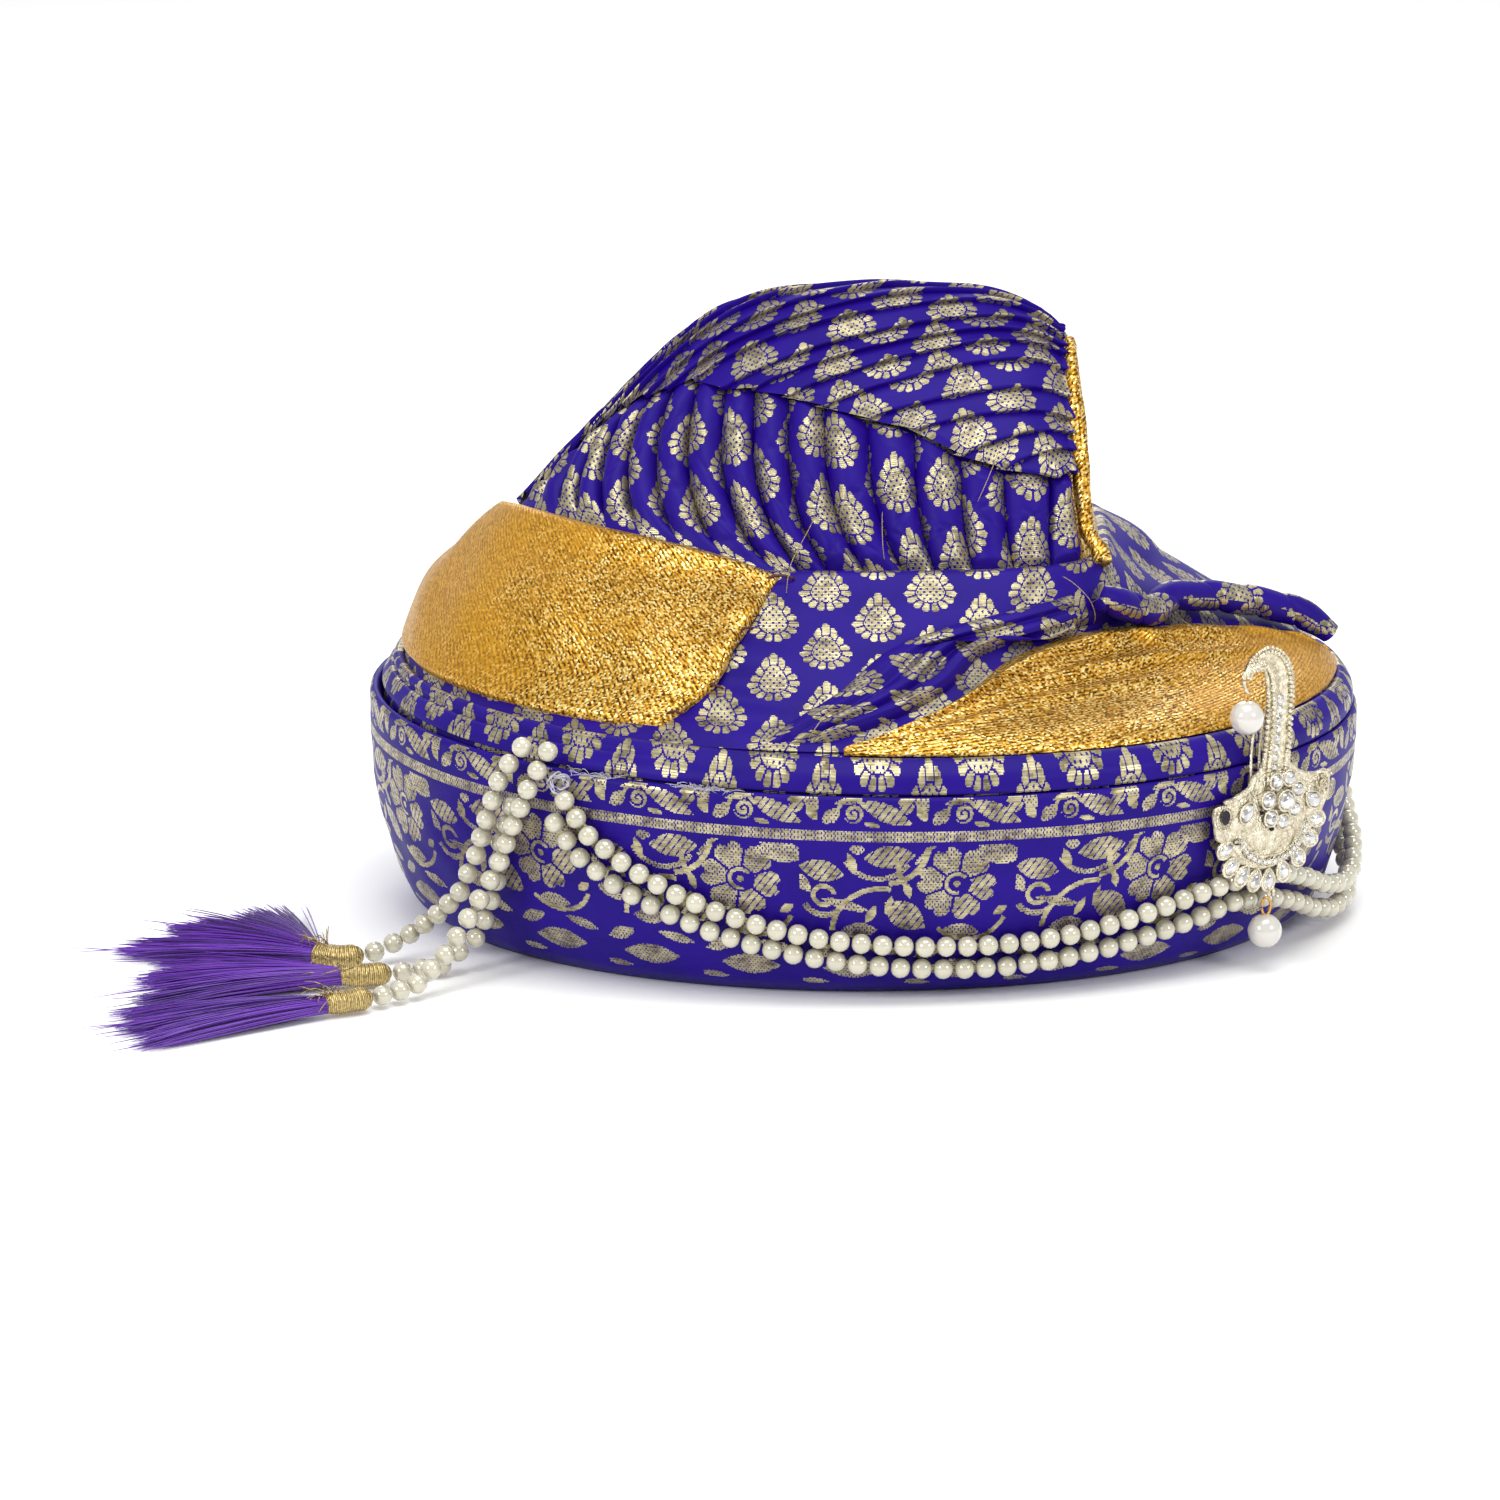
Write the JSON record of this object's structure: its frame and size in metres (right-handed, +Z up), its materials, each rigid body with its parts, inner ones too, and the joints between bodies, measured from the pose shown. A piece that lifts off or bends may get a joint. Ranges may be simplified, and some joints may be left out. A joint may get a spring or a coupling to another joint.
{
  "type": "tied turban pagri",
  "caption": "Ready-tied pagri of silk brocade with a pleated crest, gold lame bands, pearl swags, a jewelled brooch and tassels lying beside its rim.",
  "frame": {"origin": "On the surface that the turban stands on, under the middle of the whole part, tassels included.", "axes": "+X runs right along the crest to its open mouth, +Y runs away from the front, +Z is up."},
  "size_m": [0.377, 0.2834, 0.1886],
  "materials": {
    "brocade": "silk satin with woven gold motifs",
    "border_brocade": "silk satin with a wide woven gold border",
    "gold_lame": "metallic gold cloth",
    "pearl": "pearl lustre",
    "gold_thread": "wound metallic thread",
    "silk_thread": "shiny silk strands",
    "champagne_metal": "polished pale gold plating with clear stones"
  },
  "bodies": {
    "root": {"base_band": "border_brocade", "rim_fold": "brocade", "crown_shell": "brocade", "side_pleats": "brocade", "crest_pleats": "brocade", "mouth_gusset": "gold_lame", "mouth_roll": "gold_lame", "gold_band": "gold_lame", "gold_dome": "gold_lame", "drape_folds": "brocade", "rope_roll": "brocade", "swag_upper": "pearl", "swag_lower": "pearl", "tassel_string_front": "pearl", "tassel_string_left": "pearl", "tassel_string_back": "pearl", "tassel_front_binding": "gold_thread", "tassel_left_binding": "gold_thread", "tassel_middle_binding": "gold_thread", "tassel_front_skirt": "silk_thread", "tassel_left_skirt": "silk_thread", "tassel_middle_skirt": "silk_thread", "brooch": "champagne_metal", "brooch_pin": "champagne_metal", "brooch_pearl_upper": "pearl", "brooch_pearl_lower": "pearl"}
  },
  "joints": []
}
